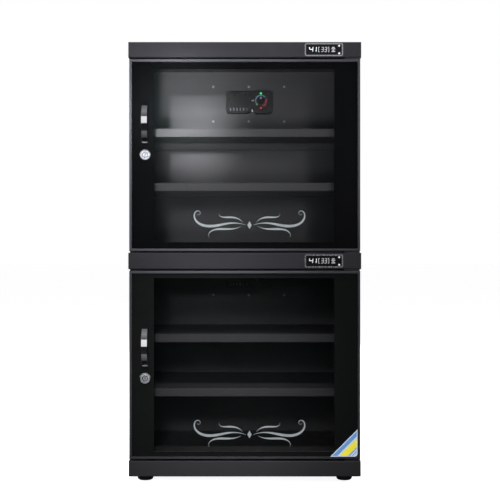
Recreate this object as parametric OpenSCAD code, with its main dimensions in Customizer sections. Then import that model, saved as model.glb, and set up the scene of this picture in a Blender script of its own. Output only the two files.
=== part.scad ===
// Two-door dry cabinet for cameras and lenses.
// Frame: front of the cabinet towards -Y, +Z up, origin on the ground under the middle of its outer box.

/* [Cabinet] */
// Width of the steel body
body_w = 538; // [500:1:640]
// Depth from the faces of the doors to the back panel
body_d = 440; // [434:1:520]
// Thickness of the sheet steel
sheet_t = 1.2; // [0.8:0.1:1.5]
// Outer radius of the folded edges
bend_r = 2; // [1.8:0.1:3]
// Height of the top header
top_header_h = 36; // [34:1:50]
// Height of the middle header
mid_header_h = 38; // [34:1:50]
// How far the headers stand out past each side of the body
header_overhang = 1; // [0.5:0.25:2]
// Height of the base plinth
plinth_h = 36.5; // [30:0.5:60]
// Width of the flange round each chamber's mouth, at the sides
frame_flange = 20; // [18:0.5:24]
// How far the flange overlaps a door at its top and foot
frame_overlap = 12.5; // [12:0.5:18]
// Depth of the lip round each chamber's mouth
lip_d = 14; // [8:1:20]

/* [Doors] */
// Height of the upper door
upper_door_h = 445; // [420:1:500]
// Height of the lower door
lower_door_h = 436.5; // [420:0.5:500]
// Thickness of a door
door_t = 22; // [20:0.5:24]
// Gap above and below each door
door_gap = 4; // [3:0.5:6]
// How far a door's side stands in from the body's side
door_inset = 1; // [0.5:0.25:3]
// Space between a door's back and the body's front flange
seal_gap = 4; // [3.5:0.25:6]
// Width of the bare rim round the glass
rim_w = 5.5; // [5:0.5:8]
// Rounding of the rim's outer edges
rim_round = 1.5; // [0.5:0.25:2]
// Thickness of the glass
glass_t = 4; // [3:0.5:5]
// How far the glass lies behind the rim
glass_recess = 1; // [0.5:0.25:1.5]
// Width of the dark band at the handle side of the window
left_band = 57; // [54:1:70]
// Width of the dark band at the hinge side of the window
right_band = 60; // [50:1:70]
// Dark band over the upper window
upper_top_band = 22.5; // [20:0.5:32]
// Dark band under the upper window
upper_low_band = 20.5; // [17:0.5:30]
// Dark band over the lower window
lower_top_band = 17; // [17:0.5:32]
// Dark band under the lower window
lower_low_band = 16.5; // [16:0.5:30]
// Distance of the hinge axis from the door's side
hinge_inset = 9; // [8.5:0.1:9.5]
// Diameter of the hinge pins
hinge_pin_d = 5; // [4:0.25:6]
// Length of a hinge pin inside its door
hinge_pin_l = 12; // [8:1:16]

/* [Handles and locks] */
// Length of a bow handle
handle_l = 100; // [80:1:130]
// Width of its strip
handle_w = 14; // [12:0.5:18]
// Thickness of its strip
handle_t = 3.5; // [2.5:0.25:5]
// How far the bow stands out from the rim
handle_proud = 30; // [26:1:40]
// Distance of the handle's centre line from the door's side
handle_inset = 37; // [36:0.5:40]
// Drop from the upper door's top to the middle of its handle
upper_handle_drop = 148.5; // [100:0.5:200]
// Drop from the lower door's top to the middle of its handle
lower_handle_drop = 175.5; // [100:0.5:200]
// Drop from the middle of a handle to the lock below it
lock_drop = 73.5; // [66:0.5:90]
// Diameter of the lock's face
lock_face_d = 26; // [23:0.5:30]
// Height of the lock's face over the glass
lock_face_h = 3; // [2:0.25:4]
// Diameter of the lock's barrel
lock_body_d = 19; // [16:0.5:20]
// Diameter of the turning plug
lock_plug_d = 12; // [10:0.5:13]
// Length of the cam from its axis to its tip
cam_l = 27; // [25:0.5:28]
// Width of the cam
cam_w = 12; // [11:0.5:14]
// Thickness of the cam
cam_t = 2.5; // [1.5:0.25:3]

/* [Displays] */
// Width of a display's bezel
display_w = 89; // [80:1:100]
// Height of a display's bezel
display_h = 30.5; // [28:0.5:31]
// Corner radius of the bezel
display_r = 4.5; // [4:0.25:6]
// Width of the bezel's rim
display_rim = 3; // [2:0.25:3.5]
// Distance of the display's middle from the body's right side
display_inset = 85.5; // [60:0.5:150]
// Diameter of a button
button_d = 4.5; // [3.5:0.25:5]
// How far a button can be pressed
button_travel = 0.8; // [0.4:0.1:1.2]
// How far a button stands out of the lens
button_proud = 1; // [0.8:0.1:1.6]
// Half the distance between the two buttons
button_rise = 8.9; // [6.5:0.1:8.9]
// Distance of the buttons from the bezel's right edge
button_inset = 9.2; // [8:0.1:12]

/* [Shelves] */
// Depth of a shelf
shelf_d = 360; // [320:1:365]
// Distance of a shelf's front from the faces of the doors
shelf_setback = 70; // [60:1:74]
// Height of a shelf's folded lips
shelf_lip_h = 20; // [14:1:24]
// Height of the low stop along a shelf's back edge
shelf_stop_h = 4; // [2:0.5:8]
// Side play between a shelf and the rails
shelf_side_play = 2.3; // [2:0.1:4]
// Width of a slotted rail
rail_w = 20; // [16:1:26]
// Depth of a slotted rail
rail_d = 12; // [10:0.5:14]
// Distance of a rail's middle from the shelf's front or back edge
rail_inset = 40; // [20:1:80]
// Distance from slot to slot
slot_pitch = 25.8; // [22:0.2:27]
// Width of a slot
slot_w = 4; // [3:0.5:6]
// Height of a slot
slot_h = 9; // [8:0.5:12]
// Height of the first slot over the upper floor
upper_first_slot = 15.7; // [8:0.1:24]
// Height of the first slot over the lower floor
lower_first_slot = 9; // [8:0.1:24]
// Thickness of a shelf clip
clip_t = 1.5; // [1:0.1:2]
// Length of a clip's ledge
clip_ledge = 12; // [8:0.5:14]
// Width of a clip
clip_w = 14; // [10:0.5:18]

/* [Drying units] */
// Place of the unit's middle to the right of the cabinet's middle
unit_x = 8.8; // [-60:0.2:60]
// Drop from the upper door's top to its unit's middle
upper_unit_drop = 47.5; // [46:0.5:70]
// Drop from the lower door's top to its unit's middle
lower_unit_drop = 26.5; // [26:0.5:70]
// Distance between neighbouring screws across the unit
unit_screw_pitch = 96; // [94:1:110]
// Distance between the two rows of screws
unit_screw_rise = 94; // [94:1:98]
// Width of the left lobe of the housing
vent_lobe_w = 68; // [60:1:80]
// Height of the left lobe
vent_lobe_h = 56; // [50:1:64]
// Depth of the left lobe
vent_lobe_d = 36; // [24:1:50]
// Width of the right lobe, which holds the dial
dial_lobe_w = 53; // [50:1:60]
// Height of the right lobe
dial_lobe_h = 58.5; // [56:0.5:66]
// Depth of the right lobe
dial_lobe_d = 40; // [28:1:54]
// Wall of the housing
housing_wall = 2; // [1.5:0.1:3]
// Corner radius of the lobes
lobe_r = 10; // [6:0.5:12]
// Radius of the printed dial
dial_r = 16.3; // [14:0.1:17]
// Diameter of the humidity knob
knob_d = 22; // [16:0.5:23]
// Height of the humidity knob
knob_h = 8; // [5:0.5:12]
// Diameter of an indicator lamp
lamp_d = 3; // [2.5:0.1:4]
// Distance of each lamp from the dial's middle
lamp_rise = 19.4; // [19.2:0.1:21]
// Depth of the louvred box behind the cabinet
exhaust_d = 25; // [22:1:40]
// Width of the louvred box
exhaust_w = 178; // [150:1:180]
// Height of the louvred box
exhaust_h = 78; // [70:1:80]

/* [Feet] */
// Height of a foot
foot_h = 15; // [12:0.5:25]
// Diameter of a foot
foot_d = 37; // [30:0.5:50]
// Rounding of a foot's lower edge
foot_round = 6; // [2:0.5:7]
// Distance of a foot's middle from the body's side
foot_inset = 35; // [28:1:60]
// Distance of a foot's middle from the front or the back
foot_setback = 45; // [44:1:80]

/* [Hidden] */
$fn = 48;

// Overrun of every cut past the face it leaves
cut_over = 1;

// Small fits shared by several pieces
running_play = 0.05;
loose_play = 0.1;
rest_play = 0.3;

// Planes from front to back
overall_d = handle_proud + body_d + exhaust_d;
front_y = -overall_d / 2 + handle_proud;
back_y = front_y + body_d;
back_inner_y = back_y - sheet_t;
tray_end_y = back_inner_y - sheet_t;
door_back_y = front_y + door_t;
frame_y = door_back_y + seal_gap;
frame_back_y = frame_y + sheet_t;
glass_y = front_y + glass_recess;
web_y = glass_y + glass_t;
web_back_y = web_y + sheet_t;

// Levels from the ground up
pan_top_z = foot_h + sheet_t;
plinth_top_z = foot_h + plinth_h;
lower_door_z = plinth_top_z + door_gap;
mid_header_z = lower_door_z + lower_door_h + door_gap;
upper_floor_z = mid_header_z + mid_header_h;
upper_door_z = upper_floor_z + door_gap;
top_header_z = upper_door_z + upper_door_h + door_gap;
overall_h = top_header_z + top_header_h;
ceiling_z = overall_h - sheet_t;

// Widths
side_x = body_w / 2;
inner_x = side_x - sheet_t;
mouth_x = side_x - frame_flange;
header_x = side_x + header_overhang;
door_x = side_x - door_inset;
rear_flange_w = 15;
tray_flange_h = 15;

// One door: foot, height, bands under and over the window, drops of the handle and the drying unit
UPPER_DOOR = [upper_door_z, upper_door_h, upper_low_band, upper_top_band,
              upper_handle_drop, upper_unit_drop];
LOWER_DOOR = [lower_door_z, lower_door_h, lower_low_band, lower_top_band,
              lower_handle_drop, lower_unit_drop];
DOORS = [UPPER_DOOR, LOWER_DOOR];

function door_foot(d) = d[0];
function door_top(d) = d[0] + d[1];
function handle_z(d) = door_top(d) - d[4];
function lock_z(d) = handle_z(d) - lock_drop;
function unit_z(d) = door_top(d) - d[5];
function mouth_foot(d) = door_foot(d) + frame_overlap;
function mouth_top(d) = door_top(d) - frame_overlap;

// One chamber: floor, ceiling, height of the first slot
UPPER_ROOM = [upper_floor_z, ceiling_z, upper_first_slot];
LOWER_ROOM = [plinth_top_z, upper_floor_z - sheet_t, lower_first_slot];

// Steps of the slot pitch up to the hooks of each shelf
low_step_count = 5;
high_step_count = 10;

// Shelves, rails and clips
shelf_y = front_y + shelf_setback;
rail_face_x = inner_x - rail_d;
shelf_x = rail_face_x - shelf_side_play;
rail_foot_gap = 2;
rail_head_gap = tray_flange_h + sheet_t + 2 * rail_foot_gap;
hook_drop = 4;
hook_play = 0.2;
shelf_return = 10;
RAIL_YS = [shelf_y + rail_inset, shelf_y + shelf_d - rail_inset];

function slot_z(room, n) = room[0] + room[2] + n * slot_pitch;
function ledge_z(room, n) = slot_z(room, n) + clip_t;
function shelf_top(room, n) = ledge_z(room, n) + rest_play + shelf_lip_h;
function rail_foot(room) = room[0] + rail_foot_gap;
function rail_head(room) = room[1] - rail_head_gap;
function slot_count(room) = floor((rail_head(room) - slot_h - hook_drop - slot_z(room, 0)) / slot_pitch);

// Door frame members stop short of the window's printed edge
print_cover = 3;
frame_left = left_band - print_cover;
frame_right = right_band - print_cover;
gasket_w = 8;
gasket_side_inset = hinge_inset + door_inset;
gasket_end_inset = 3.5;
gasket_base_t = 2;
gasket_bulb_w = 5;
access_inset = gasket_side_inset + gasket_w + gasket_end_inset;

// Hinges
hinge_x = door_x - hinge_inset;
hinge_y = front_y + door_t / 2;
hinge_r = hinge_pin_d / 2;
hinge_play = 1;
bracket_t = door_gap - hinge_play;
bracket_r = hinge_inset - loose_play;
bracket_l = 26;
hinge_block_w = 22;
hinge_block_h = hinge_pin_l + hinge_play;

// Handles
handle_x = -door_x + handle_inset;
handle_rise = glass_y - (front_y - handle_proud);
handle_r = (pow(handle_l / 2, 2) + pow(handle_rise, 2)) / (2 * handle_rise);
handle_edge_r = 1;
handle_foot_l = 14;
handle_foot_h = 8;
handle_screw_r = 2;
handle_screw_head_r = 3.5;
handle_screw_head_h = 2.4;
handle_screw_grip = 5;
handle_screw_z = handle_l / 2 - handle_foot_h;

// Locks
lock_r = lock_body_d / 2;
lock_nut_t = 5;
lock_nut_wall = 3.5;
plug_r = lock_plug_d / 2;
cam_play = 0.8;
cam_y = frame_back_y + cam_play;
barrel_end_y = cam_y - rest_play;
tail_w = 7;
cam_screw_r = 4.5;
cam_screw_h = 2;
key_slot_w = 1.2;
key_slot_l = 7;
key_slot_d = 4;

// Displays
display_x = side_x - display_inset;
top_display_z = top_header_z + top_header_h / 2;
mid_display_z = mid_header_z + mid_header_h / 2;
bezel_t = 1.2;
lens_w = display_w - 2 * display_rim;
lens_h = display_h - 2 * display_rim;
lens_r = display_r - display_rim;
lens_step = 0.6;
lens_flange_w = 2;
lens_flange_t = 1.2;
lens_back_y = front_y + sheet_t + lens_flange_t;
button_x = display_w / 2 - button_inset;
collar_over = 0.9;
collar_t = 0.8;
switch_room = 2;
board_gap = collar_t + button_travel + 2 * hook_play + switch_room;
board_t = 1.6;
post_r = 2;
digit_block_w = 52;
digit_block_h = 14;
digit_block_shift = 9;
switch_w = 6;
POST_XS = [post_r - lens_w / 2, button_x - 2 * switch_w + post_r];

// Drying units: offsets from the unit's middle
vent_lobe_x = -27;
dial_lobe_x = 37.5;
lobe_z = 1;
dial_x = 32.6;
dial_z = 4.3;
neck_drop = 12;
vent_w = 3.6;
vent_h = 8;
vent_pitch = 8.7;
vent_drop = 18;
vent_count = 6;
dial_ring_w = 4.5;
dial_ring_t = 0.8;
shaft_r = 3;
shaft_l = 12;
shaft_boss_r = 5;
pointer_w = 1.6;
pointer_t = 0.6;
flute_count = 18;
flute_r = 0.9;
lamp_flange = 0.8;
lamp_body_l = 4;
unit_screw_r = 1.8;
unit_screw_head_r = 3.2;
unit_screw_head_h = 1.8;
unit_screw_l = 6;
exhaust_r = 6;
exhaust_margin = 9;
louvre_count = 15;
louvre_w = 3.5;
louvre_pitch = 9.5;
louvre_h = 44;
pack_clear = 12;
duct_seat = 6;
duct_side_seat = 23;
pack_w = exhaust_w - 2 * pack_clear;
pack_h = exhaust_h - 2 * pack_clear;
duct_w = pack_w - 2 * duct_side_seat;
duct_h = pack_h - 2 * duct_seat;
pack_d = 15;
pack_wall = 3;
pack_cells = 6;
inlet_r = 4;
inlet_flange = 2;
inlet_t = 2;
inlet_l = 9;
inlet_socket_r = 2.8;
inlet_pin_r = 1;
inlet_x = 60;

// Feet
foot_x = side_x - foot_inset;
FOOT_YS = [front_y + foot_setback, back_y - foot_setback];
foot_screw_r = 2.5;
foot_head_r = 5;
foot_head_h = 3;
foot_well_r = 7;
foot_well_h = 7;
foot_nut_r = 4.6;
foot_nut_h = 4;

// Shape helpers

// A box between two corners
module slab(a, b) {
    translate(a) cube(b - a);
}

// A flat shape drawn in depth and height, run from one x to another
module along_x(x0, x1) {
    translate([x0, 0, 0]) rotate([90, 0, 90]) linear_extrude(x1 - x0) children();
}

// A flat shape drawn in width and height, run from one y to another
module along_y(y0, y1) {
    translate([0, y1, 0]) rotate([90, 0, 0]) linear_extrude(y1 - y0) children();
}

// A round bar along the depth
module rod_y(x, z, y0, y1, r) {
    translate([x, y1, z]) rotate([90, 0, 0]) cylinder(h = y1 - y0, r = r);
}

module round_rect(w, h, r) {
    square([w, h - 2 * r], center = true);
    square([w - 2 * r, h], center = true);
    for (sx = [-1, 1], sy = [-1, 1])
        translate([sx * (w / 2 - r), sy * (h / 2 - r)]) circle(r);
}

// Children drawn for the left side, mirrored when they go to the right
module on_side(side) {
    if (side < 0) children();
    else mirror([1, 0, 0]) children();
}

// Outline of a folded fascia: depth backwards, height upwards, front corners rounded
module fascia_outline(depth, height, r) {
    translate([r, 0]) square([depth - r, height]);
    translate([0, r]) square([r, height - 2 * r]);
    translate([r, r]) circle(r);
    translate([r, height - r]) circle(r);
}

// The fascia's sheet: front, top and foot, open at the back
module fascia_sheet(depth, height) {
    difference() {
        fascia_outline(depth, height, bend_r);
        translate([sheet_t, sheet_t])
            fascia_outline(depth, height - 2 * sheet_t, bend_r - sheet_t);
    }
}

module fascia_box(x, z0, height) {
    depth = frame_y - front_y;
    translate([0, front_y, z0]) {
        along_x(-x, x) fascia_sheet(depth, height);
        for (x0 = [-x, x - sheet_t])
            along_x(x0, x0 + sheet_t) fascia_outline(depth, height, bend_r);
    }
}

// A door's outline drawn in by a margin at each side
module door_rect(d, left, right, low, top) {
    translate([-door_x + left, door_foot(d) + low])
        square([2 * door_x - left - right, d[1] - low - top]);
}

// What a round edge takes off a square corner
module edge_cutter(r) {
    difference() {
        translate([-cut_over, -cut_over]) square(r + cut_over);
        translate([r, r]) circle(r);
    }
}

// Body panels

module side_panel(side) {
    color("#2b2b2e") on_side(side) difference() {
        union() {
            slab([-side_x, frame_y, pan_top_z], [-inner_x, back_inner_y, ceiling_z]);
            slab([-side_x, frame_y, pan_top_z], [-mouth_x, frame_back_y, ceiling_z]);
            slab([-side_x, tray_end_y, pan_top_z],
                 [-side_x + rear_flange_w, back_inner_y, ceiling_z]);
            for (d = DOORS)
                slab([-mouth_x - sheet_t, frame_y, mouth_foot(d)],
                     [-mouth_x, frame_y + lip_d, mouth_top(d)]);
        }
        if (side < 0)
            for (d = DOORS)
                slab([-mouth_x - sheet_t - cut_over, frame_back_y, lock_z(d) - cam_l],
                     [-mouth_x + cut_over, frame_y + lip_d + cut_over, lock_z(d) + cam_w / 2 + cam_play]);
    }
}

// The cross plate in front of a deck and the flanges turned down at its sides and back
module cross_frame(top_z, plate_foot, plate_top) {
    slab([-mouth_x, frame_y, plate_foot], [mouth_x, frame_back_y, plate_top]);
    for (x = [-inner_x, inner_x - sheet_t])
        slab([x, frame_back_y, top_z - tray_flange_h], [x + sheet_t, tray_end_y, top_z]);
    slab([-side_x + rear_flange_w, tray_end_y, top_z - tray_flange_h],
         [side_x - rear_flange_w, back_inner_y, top_z]);
}

// A floor across the body, with its cross frame
module deck(top_z, plate_foot, plate_top) {
    slab([-inner_x, frame_back_y, top_z - sheet_t], [inner_x, tray_end_y, top_z]);
    cross_frame(top_z, plate_foot, plate_top);
}

// A lip folded back from a cross plate's edge
module mouth_lip(z) {
    slab([-mouth_x, frame_y, z], [mouth_x, frame_y + lip_d, z + sheet_t]);
}

module top_panel() {
    color("#2b2b2e") {
        slab([-side_x, frame_y, ceiling_z], [side_x, back_y, overall_h]);
        cross_frame(ceiling_z, mouth_top(UPPER_DOOR), ceiling_z);
        mouth_lip(mouth_top(UPPER_DOOR));
    }
}

module mid_deck() {
    color("#2b2b2e") {
        deck(upper_floor_z, mouth_top(LOWER_DOOR), mouth_foot(UPPER_DOOR));
        mouth_lip(mouth_top(LOWER_DOOR));
        mouth_lip(mouth_foot(UPPER_DOOR) - sheet_t);
    }
}

module bottom_deck() {
    color("#2b2b2e") {
        deck(plinth_top_z, plinth_top_z - tray_flange_h, mouth_foot(LOWER_DOOR));
        mouth_lip(mouth_foot(LOWER_DOOR) - sheet_t);
    }
}

module back_panel() {
    color("#2b2b2e") difference() {
        slab([-side_x, back_inner_y, pan_top_z], [side_x, back_y, ceiling_z]);
        for (d = DOORS) {
            along_y(back_inner_y - cut_over, back_y + cut_over)
                translate([unit_x, unit_z(d)]) square([duct_w, duct_h], center = true);
            at_unit_screws(d)
                rod_y(0, 0, back_inner_y - cut_over, back_y + cut_over, unit_screw_r + loose_play);
        }
    }
}

module top_header() {
    color("#35353a") difference() {
        fascia_box(header_x, top_header_z, top_header_h);
        display_cut(top_display_z);
    }
}

module mid_header() {
    color("#35353a") difference() {
        fascia_box(header_x, mid_header_z, mid_header_h);
        display_cut(mid_display_z);
    }
}

module display_cut(z) {
    along_y(front_y - cut_over, front_y + sheet_t + cut_over)
        translate([display_x, z]) round_rect(lens_w, lens_h, lens_r);
}

module base_plinth() {
    color("#2f2f32") difference() {
        union() {
            fascia_box(side_x, foot_h, plinth_h);
            slab([-side_x, frame_y, foot_h], [side_x, back_y, pan_top_z]);
        }
        for (x = [-foot_x, foot_x], y = FOOT_YS)
            translate([x, y, foot_h - cut_over])
                cylinder(h = sheet_t + 2 * cut_over, r = foot_screw_r + loose_play);
    }
}

// Shelf rails and clips

module shelf_rail(room, y) {
    difference() {
        slab([-inner_x, y - rail_w / 2, rail_foot(room)],
             [-rail_face_x, y + rail_w / 2, rail_head(room)]);
        slab([-inner_x - cut_over, y - rail_w / 2 + sheet_t, rail_foot(room) - cut_over],
             [-rail_face_x - sheet_t, y + rail_w / 2 - sheet_t, rail_head(room) + cut_over]);
        for (n = [0 : slot_count(room)])
            slab([-rail_face_x - sheet_t - cut_over, y - slot_w / 2, slot_z(room, n)],
                 [-rail_face_x + cut_over, y + slot_w / 2, slot_z(room, n) + slot_h]);
    }
}

module shelf_rails(room) {
    color("#3a3a3d") for (side = [-1, 1], y = RAIL_YS)
        on_side(side) shelf_rail(room, y);
}

// A clip's hook goes through one slot, its lower tooth through the slot below
module shelf_clip(room, y, n) {
    z = ledge_z(room, n);
    foot = z - slot_pitch;
    tooth_w = slot_w / 2 - hook_play;
    hook_x = -rail_face_x - sheet_t - hook_play;
    slab([-rail_face_x, y - clip_w / 2, foot], [-rail_face_x + clip_t, y + clip_w / 2, z]);
    slab([-rail_face_x, y - clip_w / 2, z - clip_t],
         [-rail_face_x + clip_t + clip_ledge, y + clip_w / 2, z]);
    slab([hook_x - clip_t, y - tooth_w, z - clip_t], [-rail_face_x, y + tooth_w, z]);
    slab([hook_x - clip_t, y - tooth_w, z - clip_t - hook_drop], [hook_x, y + tooth_w, z]);
    slab([hook_x - clip_t, y - tooth_w, foot], [-rail_face_x, y + tooth_w, foot + 2 * clip_t]);
}

module shelf_clips(room) {
    color("#8d8e92") for (side = [-1, 1], y = RAIL_YS, n = [low_step_count, high_step_count])
        on_side(side) shelf_clip(room, y, n);
}

module shelf(room, n) {
    top = shelf_top(room, n);
    foot = top - shelf_lip_h;
    end = shelf_y + shelf_d;
    color("#4a4a4e") difference() {
        union() {
            translate([0, shelf_y, foot]) along_x(-shelf_x, shelf_x)
                fascia_sheet(shelf_d, shelf_lip_h);
            slab([-shelf_x, end - sheet_t, foot], [shelf_x, end, top + shelf_stop_h]);
            for (x = [-shelf_x, shelf_x - sheet_t])
                slab([x, shelf_y + bend_r, foot], [x + sheet_t, end, top]);
        }
        slab([-shelf_x + sheet_t, shelf_y + shelf_return, foot - cut_over],
             [shelf_x - sheet_t, end - shelf_return, foot + sheet_t]);
    }
}

// Feet

module foot_pad() {
    rotate_extrude() difference() {
        union() {
            translate([0, foot_round]) square([foot_d / 2, foot_h - foot_round]);
            square([foot_d / 2 - foot_round, foot_round]);
            translate([foot_d / 2 - foot_round, foot_round]) circle(foot_round);
        }
        translate([0, -cut_over]) square([foot_screw_r + loose_play, foot_h + 2 * cut_over]);
        translate([0, -cut_over]) square([foot_well_r, foot_well_h + cut_over]);
    }
}

module foot_pads() {
    color("#141415") for (x = [-foot_x, foot_x], y = FOOT_YS)
        translate([x, y, 0]) foot_pad();
}

// Each screw has its head in the foot's well and its nut on the bottom plate
module foot_screws() {
    color("#b5b6ba") for (x = [-foot_x, foot_x], y = FOOT_YS)
        translate([x, y, 0]) {
            translate([0, 0, foot_well_h - foot_head_h]) cylinder(h = foot_head_h, r = foot_head_r);
            translate([0, 0, foot_well_h])
                cylinder(h = pan_top_z + foot_nut_h + sheet_t - foot_well_h, r = foot_screw_r);
            translate([0, 0, pan_top_z]) cylinder(h = foot_nut_h, r = foot_nut_r, $fn = 6);
        }
}

// Hinges

// A pivot plate whose lower face lies at z, with its pin up or down into the door
module hinge_plate(z, up) {
    pin_z = up ? z + bracket_t : z - hinge_play - hinge_pin_l;
    translate([hinge_x, hinge_y, z]) {
        cylinder(h = bracket_t, r = bracket_r);
        translate([-bracket_l, -bracket_r, 0]) cube([bracket_l, 2 * bracket_r, bracket_t]);
    }
    translate([hinge_x, hinge_y, pin_z]) cylinder(h = hinge_play + hinge_pin_l, r = hinge_r);
}

module hinge_bracket_top() {
    color("#1f1f21") hinge_plate(top_header_z - bracket_t, false);
}

module hinge_bracket_mid() {
    color("#1f1f21") {
        hinge_plate(upper_floor_z, true);
        hinge_plate(mid_header_z - bracket_t, false);
    }
}

module hinge_bracket_base() {
    color("#1f1f21") hinge_plate(plinth_top_z, true);
}

// Doors

module door_block(d) {
    difference() {
        along_y(front_y, door_back_y) door_rect(d, 0, 0, 0, 0);
        along_y(front_y - cut_over, web_y) door_rect(d, rim_w, rim_w, rim_w, rim_w);
        along_y(front_y - cut_over, door_back_y + cut_over)
            door_rect(d, frame_left, frame_right, d[2] - print_cover, d[3] - print_cover);
        along_y(web_back_y, door_back_y - sheet_t) difference() {
            door_rect(d, sheet_t, sheet_t, sheet_t, sheet_t);
            door_rect(d, frame_left - sheet_t, frame_right - sheet_t,
                      d[2] - print_cover - sheet_t, d[3] - print_cover - sheet_t);
        }
        along_y(door_back_y - sheet_t - cut_over, door_back_y + cut_over) {
            door_rect(d, access_inset, 2 * door_x - frame_left + sheet_t, access_inset, access_inset);
            door_rect(d, 2 * door_x - frame_right + sheet_t, access_inset, access_inset, access_inset);
        }
        for (side = [-1, 1])
            on_side(side) translate([-door_x, front_y, door_foot(d) - cut_over])
                linear_extrude(d[1] + 2 * cut_over) edge_cutter(rim_round);
        translate([0, front_y, door_foot(d)])
            along_x(-door_x - cut_over, door_x + cut_over) edge_cutter(rim_round);
        translate([0, front_y, door_top(d)])
            along_x(-door_x - cut_over, door_x + cut_over) mirror([0, 1]) edge_cutter(rim_round);
    }
}

module door_frame(d) {
    color("#3c3c40") difference() {
        union() {
            door_block(d);
            for (z = [door_foot(d), door_top(d) - hinge_block_h - sheet_t])
                slab([door_x - hinge_block_w, web_y, z],
                     [door_x - sheet_t, door_back_y, z + hinge_block_h + sheet_t]);
        }
        for (z = [door_foot(d) - cut_over, door_top(d) - hinge_block_h])
            translate([hinge_x, hinge_y, z])
                cylinder(h = hinge_block_h + cut_over, r = hinge_r + running_play);
        rod_y(handle_x, lock_z(d), web_y - cut_over, web_back_y + cut_over, lock_r + loose_play);
        at_handle_screws(d)
            rod_y(0, 0, web_y - cut_over, web_back_y + cut_over, handle_screw_r + loose_play);
    }
}

module door_glass(d) {
    inset = rim_w + rest_play;
    color([0.55, 0.6, 0.62, 0.35]) difference() {
        along_y(glass_y, web_y) door_rect(d, inset, inset, inset, inset);
        rod_y(handle_x, lock_z(d), glass_y - cut_over, web_y + cut_over, lock_r + loose_play);
        at_handle_screws(d)
            rod_y(0, 0, glass_y - cut_over, web_y + cut_over, handle_screw_r + loose_play);
    }
}

// A ring of the door's outline, drawn in from its sides and ends
module gasket_ring(d, side_inset, end_inset, w) {
    difference() {
        door_rect(d, side_inset, side_inset, end_inset, end_inset);
        door_rect(d, side_inset + w, side_inset + w, end_inset + w, end_inset + w);
    }
}

module door_gasket(d) {
    bulb_inset = (gasket_w - gasket_bulb_w) / 2;
    color("#1b1b1c") {
        along_y(door_back_y, door_back_y + gasket_base_t)
            gasket_ring(d, gasket_side_inset, gasket_end_inset, gasket_w);
        along_y(door_back_y + gasket_base_t, frame_y - rest_play)
            gasket_ring(d, gasket_side_inset + bulb_inset, gasket_end_inset + bulb_inset, gasket_bulb_w);
    }
}

// Handles

module at_handle_screws(d) {
    for (s = [-1, 1])
        translate([handle_x, 0, handle_z(d) + s * handle_screw_z]) children();
}

// The bow is part of a ring; this is the ring's middle, with its axis across the door
module at_bow_centre(d) {
    translate([handle_x, front_y - handle_proud + handle_r, handle_z(d)]) rotate([0, 90, 0]) children();
}

module door_handle(d) {
    color("#d9dade") difference() {
        union() {
            intersection() {
                at_bow_centre(d) rotate_extrude($fn = 120)
                    translate([handle_r - handle_t / 2, 0]) round_rect(handle_t, handle_w, handle_edge_r);
                slab([handle_x - handle_w, front_y - handle_proud - cut_over, handle_z(d) - handle_l],
                     [handle_x + handle_w, glass_y, handle_z(d) + handle_l]);
            }
            intersection() {
                at_bow_centre(d)
                    cylinder(h = handle_w, r = handle_r - handle_t / 2, center = true, $fn = 120);
                for (s = [-1, 1])
                    translate([handle_x, glass_y - handle_foot_h / 2, handle_z(d) + s * handle_screw_z])
                        cube([handle_w - 2 * handle_edge_r, handle_foot_h, handle_foot_l], center = true);
            }
        }
        at_handle_screws(d)
            rod_y(0, 0, glass_y - handle_screw_grip - cut_over, glass_y + cut_over,
                  handle_screw_r + running_play);
    }
}

module handle_screws(d) {
    color("#b5b6ba") at_handle_screws(d) {
        rod_y(0, 0, glass_y - handle_screw_grip, web_back_y, handle_screw_r);
        rod_y(0, 0, web_back_y, web_back_y + handle_screw_head_h, handle_screw_head_r);
    }
}

// Locks

module lock_barrel(d) {
    z = lock_z(d);
    color("#cfd0d4") {
        difference() {
            union() {
                rod_y(handle_x, z, glass_y - lock_face_h, glass_y, lock_face_d / 2);
                rod_y(handle_x, z, glass_y, barrel_end_y, lock_r);
            }
            rod_y(handle_x, z, glass_y - lock_face_h - cut_over, barrel_end_y + cut_over,
                  plug_r + running_play);
            translate([handle_x, glass_y - lock_face_h, z]) rotate([90, 0, 0])
                rotate_extrude() translate([lock_face_d / 2, 0]) rotate(180) edge_cutter(lock_face_h / 2);
        }
        difference() {
            rod_y(handle_x, z, web_back_y, web_back_y + lock_nut_t, lock_r + lock_nut_wall, $fn = 6);
            rod_y(handle_x, z, web_back_y - cut_over, web_back_y + lock_nut_t + cut_over,
                  lock_r + running_play);
        }
    }
}

module lock_plug(d) {
    z = lock_z(d);
    face_y = glass_y - lock_face_h + loose_play;
    color("#a9aab0") {
        difference() {
            rod_y(handle_x, z, face_y, barrel_end_y, plug_r);
            slab([handle_x - key_slot_w / 2, face_y - cut_over, z - key_slot_l / 2],
                 [handle_x + key_slot_w / 2, face_y + key_slot_d, z + key_slot_l / 2]);
        }
        slab([handle_x - tail_w / 2, barrel_end_y, z - tail_w / 2],
             [handle_x + tail_w / 2, cam_y + cam_t, z + tail_w / 2]);
        rod_y(handle_x, z, cam_y + cam_t, cam_y + cam_t + cam_screw_h, cam_screw_r + loose_play);
    }
}

// At rest the cam hangs down, clear of the body's flange
module lock_cam(d) {
    hole_w = tail_w + 2 * loose_play;
    color("#8f9096") along_y(cam_y, cam_y + cam_t) translate([handle_x, lock_z(d)]) difference() {
        union() {
            circle(cam_w / 2);
            translate([-cam_w / 2, cam_w / 2 - cam_l]) square([cam_w, cam_l - cam_w / 2]);
            translate([0, cam_w / 2 - cam_l]) circle(cam_w / 2);
        }
        square([hole_w, hole_w], center = true);
    }
}

// Displays

module display_bezel(z) {
    color("#a3a4a8") along_y(front_y - bezel_t, front_y) translate([display_x, z]) difference() {
        round_rect(display_w, display_h, display_r);
        round_rect(lens_w, lens_h, lens_r);
    }
}

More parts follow.
